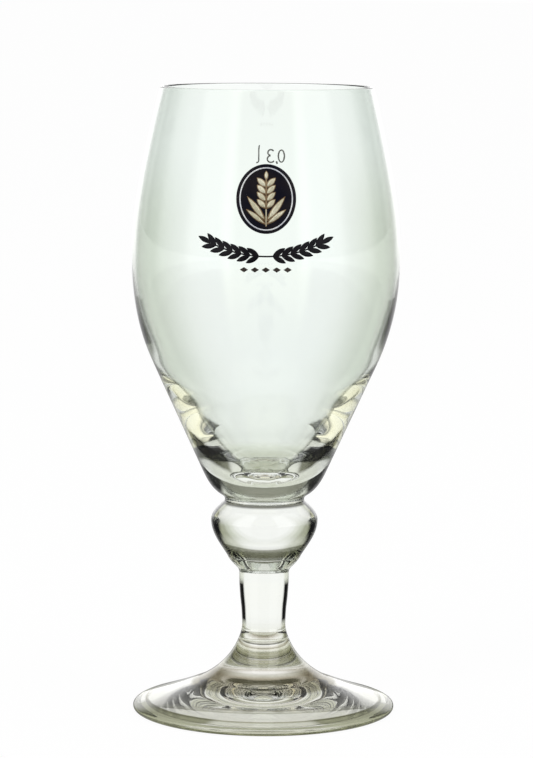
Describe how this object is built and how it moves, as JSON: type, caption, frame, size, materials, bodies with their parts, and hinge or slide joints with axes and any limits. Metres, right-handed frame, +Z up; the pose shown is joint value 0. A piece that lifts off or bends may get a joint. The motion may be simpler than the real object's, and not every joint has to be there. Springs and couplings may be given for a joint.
{
  "type": "chalice beer glass",
  "caption": "Stemmed beer glass with an egg-shaped bowl, a thick base, a knopped stem and a flared foot, printed with a barley medallion.",
  "frame": {"origin": "centre of the foot, on the surface that the glass stands on", "axes": "+Z up along the axis of turning; the prints face -Y; +X to the right seen from the front"},
  "size_m": [0.0792, 0.0793, 0.186],
  "materials": {
    "bowl_glass": "clear fire-polished soda-lime glass with a faint cool green tint",
    "stem_glass": "clear solid glass, faint grey-green in the depth",
    "foot_glass": "clear solid glass, grey-olive in the depth",
    "dark_enamel": "fired blue-black enamel print, satin gloss",
    "silver_enamel": "fired pale silver enamel line, satin gloss",
    "gold_enamel": "fired pale gold enamel, satin gloss",
    "grey_enamel": "fired dark grey enamel print, satin gloss"
  },
  "bodies": {
    "root": {"bowl": "bowl_glass", "stem": "stem_glass", "foot": "foot_glass", "medallion": "dark_enamel", "medallion_ring": "silver_enamel", "barley_ear": "gold_enamel", "leaf_sprays": "dark_enamel", "lozenge_row": "grey_enamel"}
  },
  "joints": []
}
